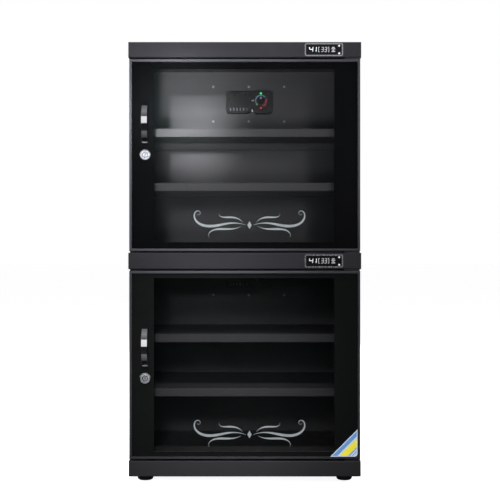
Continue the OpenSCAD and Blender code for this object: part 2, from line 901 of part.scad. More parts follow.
module display_lens(z) {
    flange = 2 * lens_flange_w;
    color("#101013") difference() {
        union() {
            along_y(front_y - lens_step, front_y + sheet_t) translate([display_x, z])
                round_rect(lens_w - 2 * loose_play, lens_h - 2 * loose_play, lens_r);
            along_y(front_y + sheet_t, lens_back_y) translate([display_x, z])
                round_rect(lens_w + flange, lens_h + flange, lens_r);
            for (x = POST_XS, s = [-1, 1])
                rod_y(display_x + x, z + s * (lens_h / 2 - post_r), lens_back_y,
                      lens_back_y + board_gap, post_r);
        }
        for (s = [-1, 1])
            rod_y(display_x + button_x, z + s * button_rise, front_y - lens_step - cut_over,
                  lens_back_y + cut_over, button_d / 2 + loose_play);
    }
}

module display_board(z) {
    y = lens_back_y + board_gap;
    block_y = y - board_gap + loose_play;
    stem_y = lens_back_y + hook_play + collar_t + button_travel + hook_play;
    slab([display_x - lens_w / 2, y, z - lens_h / 2], [display_x + lens_w / 2, y + board_t, z + lens_h / 2]);
    translate([display_x - digit_block_shift, 0, z])
        slab([-digit_block_w / 2, block_y, -digit_block_h / 2], [digit_block_w / 2, y, digit_block_h / 2]);
    for (s = [-1, 1])
        translate([display_x + button_x, 0, z + s * button_rise])
            slab([-switch_w / 2, stem_y, -switch_w / 2], [switch_w / 2, y, switch_w / 2]);
}

module display_boards() {
    color("#2e5a3c") for (z = [top_display_z, mid_display_z])
        display_board(z);
}

module display_button(z, s) {
    collar_y = lens_back_y + hook_play;
    color("#d8d9dc") {
        rod_y(display_x + button_x, z + s * button_rise, front_y - lens_step - button_proud, collar_y,
              button_d / 2);
        rod_y(display_x + button_x, z + s * button_rise, collar_y, collar_y + collar_t,
              button_d / 2 + collar_over);
    }
}

// Drying units

module at_unit_screws(d) {
    for (i = [-1, 0, 1], s = [-1, 1])
        translate([unit_x + i * unit_screw_pitch, 0, unit_z(d) + s * unit_screw_rise / 2]) children();
}

// Outline of the two lobes, drawn in by the given wall
module lobe_outline(x, w, h, wall) {
    translate([x, lobe_z]) round_rect(w - 2 * wall, h - 2 * wall, lobe_r - wall);
}

module dryer_housing(d) {
    vent_y = back_inner_y - vent_lobe_d;
    dial_y = back_inner_y - dial_lobe_d;
    neck_x = vent_lobe_x + vent_lobe_w / 2 - lobe_r;
    neck_end_x = dial_lobe_x - dial_lobe_w / 2 + lobe_r;
    neck_top = lobe_z + vent_lobe_h / 2;
    color("#1a1a1c") translate([unit_x, 0, unit_z(d)]) difference() {
        union() {
            along_y(vent_y, back_inner_y) lobe_outline(vent_lobe_x, vent_lobe_w, vent_lobe_h, 0);
            along_y(dial_y, back_inner_y) lobe_outline(dial_lobe_x, dial_lobe_w, dial_lobe_h, 0);
            slab([neck_x, vent_y + housing_wall, neck_top - vent_lobe_h + neck_drop],
                 [neck_end_x, back_inner_y, neck_top]);
            rod_y(dial_x, dial_z, dial_y - dial_ring_t, dial_y, dial_r);
        }
        along_y(vent_y + housing_wall, back_inner_y + cut_over)
            lobe_outline(vent_lobe_x, vent_lobe_w, vent_lobe_h, housing_wall);
        difference() {
            along_y(dial_y + housing_wall, back_inner_y + cut_over)
                lobe_outline(dial_lobe_x, dial_lobe_w, dial_lobe_h, housing_wall);
            rod_y(dial_x, dial_z, dial_y, dial_y + shaft_l + housing_wall, shaft_boss_r);
        }
        rod_y(dial_x, dial_z, dial_y - dial_ring_t - cut_over, dial_y, dial_r - dial_ring_w);
        rod_y(dial_x, dial_z, dial_y - cut_over, dial_y + shaft_l, shaft_r + running_play);
        for (i = [0 : vent_count - 1])
            along_y(vent_y - cut_over, vent_y + housing_wall + cut_over)
                translate([vent_lobe_x + (i - (vent_count - 1) / 2) * vent_pitch, -vent_drop])
                    round_rect(vent_w, vent_h, vent_w / 3);
        for (s = [-1, 1])
            rod_y(dial_x, dial_z + s * lamp_rise, dial_y - cut_over, dial_y + housing_wall + cut_over,
                  lamp_d / 2 + loose_play);
    }
}

// A lamp: domed tip, body through the wall, flange behind it
module lamp(d, s) {
    y = back_inner_y - dial_lobe_d;
    translate([unit_x + dial_x, 0, unit_z(d) + dial_z + s * lamp_rise]) {
        translate([0, y, 0]) sphere(lamp_d / 2);
        rod_y(0, 0, y, y + housing_wall, lamp_d / 2);
        rod_y(0, 0, y + housing_wall, y + housing_wall + lamp_body_l, lamp_d / 2 + lamp_flange);
    }
}

module dryer_lamps_green() {
    color("#2ee04a") for (d = DOORS) lamp(d, 1);
}

module dryer_lamps_red() {
    color("#e03038") for (d = DOORS) lamp(d, -1);
}

module dryer_knob(d) {
    face_y = back_inner_y - dial_lobe_d - rest_play;
    color("#232326") translate([unit_x + dial_x, 0, unit_z(d) + dial_z]) difference() {
        union() {
            rod_y(0, 0, face_y - knob_h, face_y, knob_d / 2);
            rod_y(0, 0, face_y, face_y + shaft_l, shaft_r);
            slab([-pointer_w / 2, face_y - knob_h - pointer_t, 0],
                 [pointer_w / 2, face_y - knob_h, knob_d / 2 - pointer_w]);
        }
        for (i = [0 : flute_count - 1])
            rotate([0, (i + 1 / 2) * 360 / flute_count, 0])
                rod_y(0, knob_d / 2, face_y - knob_h - cut_over, face_y + cut_over, flute_r);
    }
}

module unit_screws() {
    color("#b9babd") for (d = DOORS) at_unit_screws(d) {
        rod_y(0, 0, back_inner_y - unit_screw_head_h, back_inner_y, unit_screw_head_r);
        rod_y(0, 0, back_inner_y, back_inner_y + unit_screw_l, unit_screw_r);
    }
}

// The louvred box and its screw flange, with a hole for the socket in its floor
module exhaust_box(d) {
    flange_w = 2 * (unit_screw_pitch + exhaust_margin);
    flange_h = unit_screw_rise + 2 * exhaust_margin;
    end_y = back_y + exhaust_d;
    color("#242427") difference() {
        union() {
            along_y(back_y, back_y + sheet_t)
                translate([unit_x, unit_z(d)]) round_rect(flange_w, flange_h, exhaust_r);
            along_y(back_y, end_y)
                translate([unit_x, unit_z(d)]) round_rect(exhaust_w, exhaust_h, exhaust_r);
        }
        along_y(back_y - cut_over, end_y - sheet_t) translate([unit_x, unit_z(d)])
            round_rect(exhaust_w - 2 * sheet_t, exhaust_h - 2 * sheet_t, exhaust_r - sheet_t);
        for (i = [0 : louvre_count - 1])
            along_y(end_y - sheet_t - cut_over, end_y + cut_over)
                translate([unit_x + (i - (louvre_count - 1) / 2) * louvre_pitch, unit_z(d)])
                    round_rect(louvre_w, louvre_h, louvre_w / 3);
        at_unit_screws(d)
            rod_y(0, 0, back_y - cut_over, back_y + sheet_t + cut_over, unit_screw_r + loose_play);
        translate([inlet_place_x(), inlet_place_y(), unit_z(d) - exhaust_h / 2 - cut_over])
            cylinder(h = sheet_t + 2 * cut_over, r = inlet_r + loose_play);
    }
}

function inlet_place_x() = unit_x + inlet_x;
function inlet_place_y() = back_y + exhaust_d - sheet_t - inlet_r - 2 * inlet_flange;

module power_inlets() {
    color("#18181a") for (d = DOORS)
        translate([inlet_place_x(), inlet_place_y(), unit_z(d) - exhaust_h / 2]) difference() {
            union() {
                translate([0, 0, -inlet_t]) cylinder(h = inlet_t, r = inlet_r + inlet_flange);
                cylinder(h = inlet_l, r = inlet_r);
                translate([0, 0, sheet_t]) cylinder(h = inlet_t, r = inlet_r + inlet_flange, $fn = 6);
            }
            difference() {
                translate([0, 0, -inlet_t - cut_over])
                    cylinder(h = inlet_l + cut_over, r = inlet_socket_r);
                cylinder(h = inlet_l, r = inlet_pin_r);
            }
        }
}

// A cartridge of cells that lies behind the duct window of the back panel
module desiccant_pack(d) {
    cell_w = (pack_w - pack_wall) / pack_cells - pack_wall;
    color("#c9cdd4") translate([unit_x, 0, unit_z(d)]) difference() {
        along_y(back_y, back_y + pack_d) square([pack_w, pack_h], center = true);
        for (i = [0 : pack_cells - 1])
            translate([pack_wall + i * (cell_w + pack_wall) - pack_w / 2, back_y, pack_wall - pack_h / 2])
                slab([0, -cut_over, 0], [cell_w, pack_d - pack_wall, pack_h - 2 * pack_wall]);
    }
}

side_panel(-1);  // side_panel_left
side_panel(1);  // side_panel_right
back_panel();
top_panel();
mid_deck();
bottom_deck();
top_header();
mid_header();
base_plinth();
shelf_rails(UPPER_ROOM);  // shelf_rails_upper
shelf_rails(LOWER_ROOM);  // shelf_rails_lower
shelf_clips(UPPER_ROOM);  // shelf_clips_upper
shelf_clips(LOWER_ROOM);  // shelf_clips_lower
foot_pads();
foot_screws();
hinge_bracket_top();
hinge_bracket_mid();
hinge_bracket_base();
dryer_housing(UPPER_DOOR);  // dryer_housing_upper
dryer_housing(LOWER_DOOR);  // dryer_housing_lower
dryer_lamps_green();
dryer_lamps_red();
unit_screws();
exhaust_box(UPPER_DOOR);  // exhaust_box_upper
exhaust_box(LOWER_DOOR);  // exhaust_box_lower
desiccant_pack(UPPER_DOOR);  // desiccant_pack_upper
desiccant_pack(LOWER_DOOR);  // desiccant_pack_lower
power_inlets();
display_bezel(top_display_z);  // display_bezel_upper
display_bezel(mid_display_z);  // display_bezel_lower
display_lens(top_display_z);  // display_lens_upper
display_lens(mid_display_z);  // display_lens_lower
display_boards();
display_button(top_display_z, 1);  // button_upper_up
display_button(top_display_z, -1);  // button_upper_down
display_button(mid_display_z, 1);  // button_lower_up
display_button(mid_display_z, -1);  // button_lower_down
dryer_knob(UPPER_DOOR);  // dryer_knob_upper
dryer_knob(LOWER_DOOR);  // dryer_knob_lower
shelf(UPPER_ROOM, high_step_count);  // shelf_upper_high
shelf(UPPER_ROOM, low_step_count);  // shelf_upper_low
shelf(LOWER_ROOM, high_step_count);  // shelf_lower_high
shelf(LOWER_ROOM, low_step_count);  // shelf_lower_low
door_frame(UPPER_DOOR);  // door_frame_upper
door_frame(LOWER_DOOR);  // door_frame_lower
door_glass(UPPER_DOOR);  // door_glass_upper
door_glass(LOWER_DOOR);  // door_glass_lower
door_gasket(UPPER_DOOR);  // door_gasket_upper
door_gasket(LOWER_DOOR);  // door_gasket_lower
door_handle(UPPER_DOOR);  // door_handle_upper
door_handle(LOWER_DOOR);  // door_handle_lower
handle_screws(UPPER_DOOR);  // handle_screws_upper
handle_screws(LOWER_DOOR);  // handle_screws_lower
lock_barrel(UPPER_DOOR);  // lock_barrel_upper
lock_barrel(LOWER_DOOR);  // lock_barrel_lower
lock_plug(UPPER_DOOR);  // lock_plug_upper
lock_plug(LOWER_DOOR);  // lock_plug_lower
lock_cam(UPPER_DOOR);  // lock_cam_upper
lock_cam(LOWER_DOOR);  // lock_cam_lower
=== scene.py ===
import math
import random

import bmesh
import bpy
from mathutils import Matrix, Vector
from mathutils.geometry import tessellate_polygon


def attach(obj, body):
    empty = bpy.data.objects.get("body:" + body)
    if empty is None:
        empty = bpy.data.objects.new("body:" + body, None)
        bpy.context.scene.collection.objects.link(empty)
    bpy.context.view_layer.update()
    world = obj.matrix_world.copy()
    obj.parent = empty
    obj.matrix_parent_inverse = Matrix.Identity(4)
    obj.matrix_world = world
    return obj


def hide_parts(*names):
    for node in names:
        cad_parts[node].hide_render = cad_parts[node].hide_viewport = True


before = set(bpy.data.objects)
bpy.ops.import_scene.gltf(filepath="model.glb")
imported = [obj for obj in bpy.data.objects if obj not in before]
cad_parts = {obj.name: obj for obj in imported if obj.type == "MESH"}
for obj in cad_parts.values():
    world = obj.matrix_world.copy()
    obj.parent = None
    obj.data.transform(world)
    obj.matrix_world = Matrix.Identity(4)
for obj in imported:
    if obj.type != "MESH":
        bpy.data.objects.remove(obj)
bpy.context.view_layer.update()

MM = 0.001
PARTS = ("upper", "lower")
scene = bpy.context.scene
random.seed(7)

# Planes and places of the CAD part, in millimetres
GLASS_FRONT = -216.5
GLASS_BACK = -212.5
DOOR_BACK = -195.5
LENS_FRONT = -218.1
LOCK_FACE = GLASS_FRONT - 3.0
BACK_INNER = 221.3
BACK_OUTER = 222.5
VENT_FACE = BACK_INNER - 36.0
DIAL_FACE = BACK_INNER - 40.0
DIAL_RING_FACE = BACK_INNER - 40.8
KNOB_FACE = DIAL_FACE - 8.9
DOOR_X = 268.0
HANDLE_X = -231.0
DOOR_FOOT = {"upper": 538.0, "lower": 55.5}
DOOR_TOP = {"upper": 983.0, "lower": 492.0}
WINDOW_X = (-211.0, 208.0)
WINDOW_Z = {"upper": (558.5, 960.5), "lower": (72.0, 475.0)}
LOCK_Z = {"upper": 761.0, "lower": 243.0}
HANDLE_Z = {"upper": 834.5, "lower": 316.5}
HANDLE_HOLE = 42.0
DISPLAY_Z = {"upper": 1005.0, "lower": 515.0}
UNIT_X = 8.8
UNIT_Z = {"upper": 935.5, "lower": 465.5}
DIAL_X, DIAL_RISE = UNIT_X + 32.6, 4.3
LABEL_X, LABEL_Z, LABEL_LEG, LABEL_CORNER = 261.5, 61.3, 63.0, 7.0

# The thin layers of print, in millimetres: how far they stand out of a face and reach into it
PRINT_OUT = 0.08
PRINT_IN = 0.02
GLASS_PRINT = (GLASS_BACK - 0.12, GLASS_BACK - 0.02)


# Camera

camera_data = bpy.data.cameras.new("camera")
camera_data.sensor_width = 36.0
camera_data.lens = 80.75
camera = bpy.data.objects.new("camera", camera_data)
scene.collection.objects.link(camera)
camera.location = (0.0122, -2.8175, 0.5405)
camera.rotation_euler = (math.radians(90), 0, 0)
scene.camera = camera
scene.view_settings.view_transform = "Standard"
scene.view_settings.look = "None"


# Materials

class Shader:
    """A material whose nodes are all driven by the piece's own coordinates."""

    def __init__(self, name, **sockets):
        self.material = bpy.data.materials.new(name)
        self.material.use_nodes = True
        self.tree = self.material.node_tree
        self.surface = self.tree.nodes["Principled BSDF"]
        for socket, value in sockets.items():
            self.surface.inputs[socket.replace("_", " ")].default_value = value
        self.coords = self.tree.nodes.new("ShaderNodeTexCoord").outputs["Object"]

    def link(self, output, socket):
        self.tree.links.new(output, self.surface.inputs[socket])

    def stretched(self, scale):
        node = self.tree.nodes.new("ShaderNodeMapping")
        node.inputs["Scale"].default_value = scale
        self.tree.links.new(self.coords, node.inputs["Vector"])
        return node.outputs["Vector"]

    def noise(self, scale, detail=2.0, roughness=0.5, vector=None):
        node = self.tree.nodes.new("ShaderNodeTexNoise")
        node.inputs["Scale"].default_value = scale
        node.inputs["Detail"].default_value = detail
        node.inputs["Roughness"].default_value = roughness
        self.tree.links.new(vector or self.coords, node.inputs["Vector"])
        return node.outputs["Fac"]

    def cells(self, scale):
        node = self.tree.nodes.new("ShaderNodeTexVoronoi")
        node.inputs["Scale"].default_value = scale
        self.tree.links.new(self.coords, node.inputs["Vector"])
        return node.outputs["Distance"]

    def spread(self, value, low, high, start=0.3, end=0.7):
        node = self.tree.nodes.new("ShaderNodeMapRange")
        node.inputs["From Min"].default_value = start
        node.inputs["From Max"].default_value = end
        node.inputs["To Min"].default_value = low
        node.inputs["To Max"].default_value = high
        self.tree.links.new(value, node.inputs["Value"])
        return node.outputs["Result"]

    def ramp(self, value, stops, constant=False):
        node = self.tree.nodes.new("ShaderNodeValToRGB")
        node.color_ramp.interpolation = "CONSTANT" if constant else "LINEAR"
        while len(node.color_ramp.elements) < len(stops):
            node.color_ramp.elements.new(1.0)
        for element, (place, colour) in zip(node.color_ramp.elements, stops):
            element.position = place
            element.color = (*colour, 1.0)
        self.tree.links.new(value, node.inputs["Fac"])
        return node.outputs["Color"]

    def tint(self, value, dark, light, socket="Base Color"):
        self.link(self.ramp(value, [(0.3, dark), (0.7, light)]), socket)

    def rough(self, value, low, high):
        self.link(self.spread(value, low, high), "Roughness")

    def bump(self, heights, distance, strength):
        normal = None
        for height in heights:
            node = self.tree.nodes.new("ShaderNodeBump")
            node.inputs["Strength"].default_value = strength
            node.inputs["Distance"].default_value = distance
            self.tree.links.new(height, node.inputs["Height"])
            if normal:
                self.tree.links.new(normal, node.inputs["Normal"])
            normal = node.outputs["Normal"]
        self.link(normal, "Normal")


def powder_coat(name, dark, light, rough=0.46, grain=0.00012):
    """Baked powder paint: small orange peel, slow drift of colour and gloss."""
    shader = Shader(name)
    shader.tint(shader.noise(5.0, 4.0, 0.6), dark, light)
    shader.rough(shader.noise(38.0, 3.0), rough - 0.05, rough + 0.06)
    shader.bump([shader.noise(820.0, 2.0), shader.cells(430.0)], grain, 0.5)
    return shader.material


def moulded(name, dark, light, rough=0.42, grain=0.00006, **sockets):
    """Moulded plastic with a fine spark-eroded skin."""
    shader = Shader(name, **sockets)
    shader.tint(shader.noise(60.0, 3.0), dark, light)
    shader.rough(shader.noise(210.0, 2.0), rough - 0.05, rough + 0.07)
    shader.bump([shader.noise(1500.0, 2.0)], grain, 0.5)
    return shader.material


def metal(name, dark, light, rough, stretch=(1, 1, 1), grain=0.00002):
    """Plated or machined metal with fine marks along the stretched direction."""
    shader = Shader(name, Metallic=1.0)
    marks = shader.stretched(stretch)
    shader.tint(shader.noise(45.0, 3.0), dark, light)
    shader.rough(shader.noise(300.0, 3.0, vector=marks), rough * 0.7, rough * 1.4)
    shader.bump([shader.noise(900.0, 2.0, vector=marks)], grain, 0.4)
    return shader.material


def glow(name, dark, light, strength, scale=400.0, lit_above=None):
    """A part that gives off light, uneven as behind a diffuser. It serves the lamps and displays,
    and also paints light onto parts that hold no lamp. It stays unlit below the height lit_above.
    """
    shader = Shader(name, Roughness=0.35, Emission_Strength=strength)
    cloud = shader.noise(scale, 2.0)
    shader.tint(cloud, dark, light)
    if lit_above is None:
        shader.tint(cloud, dark, light, "Emission Color")
        return shader.material
    split = shader.tree.nodes.new("ShaderNodeSeparateXYZ")
    shader.tree.links.new(shader.coords, split.inputs[0])
    gate = shader.spread(split.outputs["Z"], 0.0, 1.0, lit_above, lit_above + 0.02)
    lit = shader.tree.nodes.new("ShaderNodeMath")
    lit.operation = "MULTIPLY"
    shader.tree.links.new(gate, lit.inputs[0])
    shader.tree.links.new(cloud, lit.inputs[1])
    shader.link(shader.ramp(lit.outputs[0], [(0.0, (0, 0, 0)), (0.25, dark), (0.7, light)]),
                "Emission Color")
    return shader.material


def grey(value, blue=1.06):
    """A linear grey that leans to blue."""
    return (value, value, value * blue)


BODY = powder_coat("body_paint", grey(0.040), grey(0.047))
# The headers and the mid deck: the body's black drawn at about half its lightness, painted shade
# that keeps them dark under the lamps aimed into the chambers.
HEADER = powder_coat("header_paint", grey(0.019, 1.2), grey(0.023, 1.2))
# The door frames: drawn paler than the body's paint, painted light for what their narrow rims
# catch.
DOOR = powder_coat("door_paint", grey(0.051, 1.18), grey(0.059, 1.18), 0.44, 0.0001)
SHELF = powder_coat("shelf_paint", grey(0.038), grey(0.044), 0.44)
RAIL = powder_coat("rail_paint", grey(0.036), grey(0.044), 0.5)
CHROME = metal("chrome", (0.78, 0.79, 0.81), (0.86, 0.87, 0.89), 0.07, grain=0.000004)
PLUG = metal("plug_metal", (0.34, 0.37, 0.42), (0.72, 0.75, 0.80), 0.12, (1, 0.3, 3))
ZINC = metal("bright_zinc", (0.50, 0.50, 0.52), (0.66, 0.66, 0.69), 0.32, (1, 1, 4))
SCREW = moulded("dull_zinc", (0.20, 0.20, 0.21), (0.28, 0.28, 0.29), 0.35, 0.00001,
                Metallic=0.4)
SATIN = moulded("satin_nickel", (0.36, 0.38, 0.42), (0.60, 0.62, 0.66), 0.28, 0.00002,
                Metallic=0.5)
PLASTIC = moulded("black_plastic", grey(0.016), grey(0.022))
KNOB = moulded("knob_plastic", grey(0.010), grey(0.014), 0.34)
BEZEL = moulded("bezel_plastic", grey(0.31), grey(0.38), 0.26, 0.00001, Metallic=1.0)
LENS = moulded("lens_plastic", grey(0.004), grey(0.006), 0.16, 0.00001,
                Specular_IOR_Level=0.16)
# The buttons glow though they hold no lamp: painted light that keeps their pale faces bright.
BUTTON = glow("button_plastic", grey(0.60), grey(0.70), 0.6, 900.0)
# The print on the glass. Its faint glow is painted light: it stands in for the room's light on
# dark gloss. The lower door's copy is drawn paler and greener, painted for the light that falls on
# that door.
PRINT_AND_SHEEN = {
    "upper": moulded("window_print_upper", grey(0.0010, 1.2), grey(0.0016, 1.2), 0.5, 0.000002,
                     Specular_IOR_Level=0.0, Emission_Strength=0.0024,
                     Emission_Color=(0.9, 0.92, 1.0, 1.0)),
    "lower": moulded("window_print_lower", (0.0064, 0.0076, 0.0070), (0.0078, 0.0092, 0.0084), 0.5,
                     0.000002, Specular_IOR_Level=0.0, Emission_Strength=0.0035,
                     Emission_Color=(0.9, 1.0, 0.95, 1.0)),
}
# The silver print glows though it is no lamp: painted sheen that stands in for the light on its
# metal ink.
SILVER_AND_SHEEN = glow("silver_print_and_sheen", (0.09, 0.10, 0.105), (0.115, 0.125, 0.13), 2.5, 90.0)
DESICCANT = moulded("desiccant", (0.42, 0.46, 0.52), (0.55, 0.59, 0.65), 0.6)
BOARD = moulded("board", (0.02, 0.10, 0.04), (0.03, 0.14, 0.06), 0.5)
SLAT = moulded("vent_slat", grey(0.08), grey(0.12), 0.5)
DIGIT = glow("digit_light", (0.42, 0.44, 0.46), (0.60, 0.62, 0.64), 1.0)
FAINT = glow("faint_light", (0.27, 0.28, 0.30), (0.38, 0.39, 0.42), 1.0)
GREEN = glow("green_lamp", (0.01, 0.46, 0.10), (0.03, 0.74, 0.20), 1.2, lit_above=0.6)
RED = glow("red_lamp", (0.30, 0.01, 0.02), (0.44, 0.02, 0.04), 0.8, lit_above=0.6)
BLUE_INK = moulded("blue_print", (0.08, 0.14, 0.24), (0.12, 0.20, 0.32), 0.5)
RED_INK = moulded("red_print", (0.22, 0.035, 0.045), (0.30, 0.055, 0.065), 0.5)
GREEN_INK = moulded("green_print", (0.12, 0.34, 0.16), (0.18, 0.46, 0.22), 0.5)
WHITE_INK = moulded("white_print", grey(0.60), grey(0.72), 0.5)


def rubber(name, dark, light):
    """Matt rubber with a dusty, slightly rough skin."""
    shader = Shader(name)
    shader.tint(shader.noise(30.0, 4.0, 0.65), dark, light)
    shader.rough(shader.noise(160.0, 3.0), 0.66, 0.86)
    shader.bump([shader.noise(620.0, 3.0)], 0.00012, 0.6)
    return shader.material


FOOT = rubber("foot_rubber", grey(0.006), grey(0.012))
GASKET = rubber("gasket_rubber", grey(0.009), grey(0.016))


def clear_glass():
    """Thin float glass: a faint green body, wiped marks in its gloss."""
    shader = Shader("clear_glass", Alpha=0.10, IOR=1.5, Specular_IOR_Level=0.12)
    shader.tint(shader.noise(9.0, 3.0), (0.004, 0.006, 0.006), (0.007, 0.010, 0.010))
    wiped = shader.stretched((1.0, 1.0, 0.35))
    shader.rough(shader.noise(14.0, 4.0, 0.6, wiped), 0.02, 0.07)
    return shader.material


GLASS = clear_glass()

FINISH = {
    "side_panel": BODY, "back_panel": BODY, "top_panel": BODY, "mid_deck": HEADER,
    "bottom_deck": BODY, "base_plinth": BODY, "exhaust_box": BODY, "top_header": HEADER,
    "mid_header": HEADER, "shelf_rails": RAIL, "hinge_bracket": RAIL, "shelf_clips": ZINC,
    "foot_pads": FOOT, "foot_screws": ZINC, "dryer_housing": PLASTIC,
    "dryer_lamps_green": GREEN, "dryer_lamps_red": RED, "unit_screws": SCREW,
    "desiccant_pack": DESICCANT, "power_inlets": PLASTIC, "display_bezel": BEZEL,
    "display_lens": LENS, "display_boards": BOARD, "button_": BUTTON, "dryer_knob": KNOB,
    "shelf_upper": SHELF, "shelf_lower": SHELF, "door_frame": DOOR, "door_glass": GLASS,
    "door_gasket": GASKET, "door_handle": CHROME, "handle_screws": ZINC,
    "lock_barrel": CHROME, "lock_plug": PLUG, "lock_cam": ZINC,
}
for node_name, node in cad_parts.items():
    finish = next(FINISH[head] for head in FINISH if node_name.startswith(head))
    node.data.materials.clear()
    node.data.materials.append(finish)


# Mesh helpers

def add_piece(name, bm, material, body, smooth=False):
    """Turns a bmesh drawn in millimetres into a piece that rides on a body."""
    bmesh.ops.recalc_face_normals(bm, faces=bm.faces)
    mesh = bpy.data.meshes.new(name)
    bm.to_mesh(mesh)
    bm.free()
    for vertex in mesh.vertices:
        vertex.co *= MM
    for polygon in mesh.polygons:
        polygon.use_smooth = smooth
    mesh.materials.append(material)
    piece = bpy.data.objects.new(name, mesh)
    scene.collection.objects.link(piece)
    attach(piece, body)
    return piece


def plate(bm, loops, front, back):
    """A flat plate facing -Y. The first loop of (x, z) points is its edge, the rest are holes."""
    points = [point for loop in loops for point in loop]
    triangles = tessellate_polygon([[Vector((x, z, 0)) for x, z in loop] for loop in loops])
    near = [bm.verts.new((x, front, z)) for x, z in points]
    far = [bm.verts.new((x, back, z)) for x, z in points]
    for triangle in triangles:
        bm.faces.new([near[i] for i in triangle])
        bm.faces.new([far[i] for i in reversed(triangle)])
    start = 0
    for loop in loops:
        count = len(loop)
        for i in range(count):
            a, b = start + i, start + (i + 1) % count
            bm.faces.new((near[a], near[b], far[b], far[a]))
        start += count


def rectangle(x0, x1, z0, z1):
    return [(x0, z0), (x1, z0), (x1, z1), (x0, z1)]


def circle(x, z, radius, count=32):
    return [(x + radius * math.cos(math.tau * i / count),
             z + radius * math.sin(math.tau * i / count)) for i in range(count)]


def ring_sector(x, z, inner, outer, start, end, count=24):
    """Points round a part of a flat ring, angles in degrees from +X towards +Z."""
    angles = [math.radians(start + (end - start) * i / count) for i in range(count + 1)]
    outside = [(x + outer * math.cos(a), z + outer * math.sin(a)) for a in angles]
    inside = [(x + inner * math.cos(a), z + inner * math.sin(a)) for a in reversed(angles)]
    return outside + inside


def lathe(bm, x, z, profile, count=48):
    """Turns (radius, y) points round an axis along Y. A radius of zero closes the end."""
    rings = []
    for radius, y in profile:
        if radius == 0:
            rings.append([bm.verts.new((x, y, z))])
        else:
            rings.append([bm.verts.new((px, y, pz)) for px, pz in circle(x, z, radius, count)])
    for a, b in zip(rings, rings[1:]):
        for i in range(count):
            j = (i + 1) % count
            if len(a) == 1:
                bm.faces.new((a[0], b[i], b[j]))
            elif len(b) == 1:
                bm.faces.new((a[i], a[j], b[0]))
            else:
                bm.faces.new((a[i], a[j], b[j], b[i]))
    return rings


def screw_head(bm, x, z, base_y, towards, radius, height, turn):
    """A domed head with a cross recess. towards is -1 for a head that faces -Y and 1 for +Y."""
    top = base_y + towards * height
    profile = [(0, base_y), (radius, base_y), (radius, base_y + towards * height * 0.35),
               (radius * 0.82, base_y + towards * height * 0.8), (radius * 0.56, top)]
    rings = lathe(bm, x, z, profile, 32)
    # The recess: four arms that reach half the radius, narrower at its floor than at the top
    depth = top - towards * height * 0.6
    rim, floor = rings[-1], []
    for i, vertex in enumerate(rim):
        angle = math.tau * i / len(rim) + turn
        arm = abs(math.cos(2 * angle)) ** 6
        reach = radius * (0.14 + 0.36 * arm)
        angle -= turn
        floor.append(bm.verts.new((x + reach * math.cos(angle), top, z + reach * math.sin(angle))))
    sunk = [bm.verts.new((v.co.x * 0.9 + x * 0.1, depth, v.co.z * 0.9 + z * 0.1)) for v in floor]
    middle = bm.verts.new((x, depth, z))
    count = len(rim)
    for i in range(count):
        j = (i + 1) % count
        bm.faces.new((rim[i], rim[j], floor[j], floor[i]))
        bm.faces.new((floor[i], floor[j], sunk[j], sunk[i]))
        bm.faces.new((sunk[i], sunk[j], middle))


# Doors

def door_print(part):
    """The dark border printed on the glass round the window, with holes for lock and handle."""
    inset, lock_hole, screw_hole = 5.9, 9.7, 2.2
    low, high = WINDOW_Z[part]
    loops = [
        rectangle(-DOOR_X + inset, DOOR_X - inset,
                  DOOR_FOOT[part] + inset, DOOR_TOP[part] - inset),
        rectangle(*WINDOW_X, low, high),
        circle(HANDLE_X, LOCK_Z[part], lock_hole),
        circle(HANDLE_X, HANDLE_Z[part] + HANDLE_HOLE, screw_hole),
        circle(HANDLE_X, HANDLE_Z[part] - HANDLE_HOLE, screw_hole),
    ]
    bm = bmesh.new()
    plate(bm, loops, *GLASS_PRINT)
    add_piece(f"window_print_{part}", bm, PRINT_AND_SHEEN[part], f"{part}_door")


def stroke(bm, start, heading, bends, length, width, count=90):
    """A pen stroke along a spiral: bends are its curvature at even steps along the length."""
    x, z = start
    angle = math.radians(heading)
    step = length / count
    left, right = [], []
    for i in range(count + 1):
        t = i / count
        swell = math.sin(math.pi * min(1.0, t * 1.02)) ** 1.4
        half = width / 2 * (0.10 + 0.90 * swell)
        nx, nz = -math.sin(angle), math.cos(angle)
        left.append((x + nx * half, z + nz * half))
        right.append((x - nx * half, z - nz * half))
        place = t * (len(bends) - 1)
        k = min(int(place), len(bends) - 2)
        bend = bends[k] + (bends[k + 1] - bends[k]) * (place - k)
        angle += bend * step
        x += math.cos(angle) * step
        z += math.sin(angle) * step
    front, back = GLASS_PRINT
    rows = []
    for (lx, lz), (rx, rz) in zip(left, right):
        rows.append([bm.verts.new(p) for p in
                     ((lx, front, lz), (rx, front, rz), (rx, back, rz), (lx, back, lz))])
    for a, b in zip(rows, rows[1:]):
        for i in range(4):
            j = (i + 1) % 4
            bm.faces.new((a[i], a[j], b[j], b[i]))
    bm.faces.new(rows[0])
    bm.faces.new(list(reversed(rows[-1])))


def door_ornament(part):
    """A plain scrollwork line, printed in silver near the foot of the window. Its glow is painted
    sheen.
    """
    x, z = 11.0, WINDOW_Z[part][0] + 40.0
    # Each stroke: its start beside the middle, heading, bends, length and width
    strokes = [
        ((9, 0), 20, [-0.012, -0.012, 0.006, 0.022, 0.06, 0.30], 168, 6.0),
        ((20, -3), -32, [0.03, 0.012, -0.004, -0.03, -0.14], 88, 4.6),
        ((16, 6), 58, [-0.05, -0.03, -0.012, 0.02, 0.22], 64, 4.0),
    ]
    bm = bmesh.new()
    for side in (1, -1):
        for (dx, dz), heading, bends, length, width in strokes:
            stroke(bm, (x + side * dx, z + dz), heading if side > 0 else 180 - heading,
                   [side * bend for bend in bends], length, width)
    lozenge = [(x - 5, z), (x, z - 9), (x + 5, z), (x, z + 9)]
    plate(bm, [lozenge], *GLASS_PRINT)
    add_piece(f"window_ornament_{part}", bm, SILVER_AND_SHEEN, f"{part}_door")


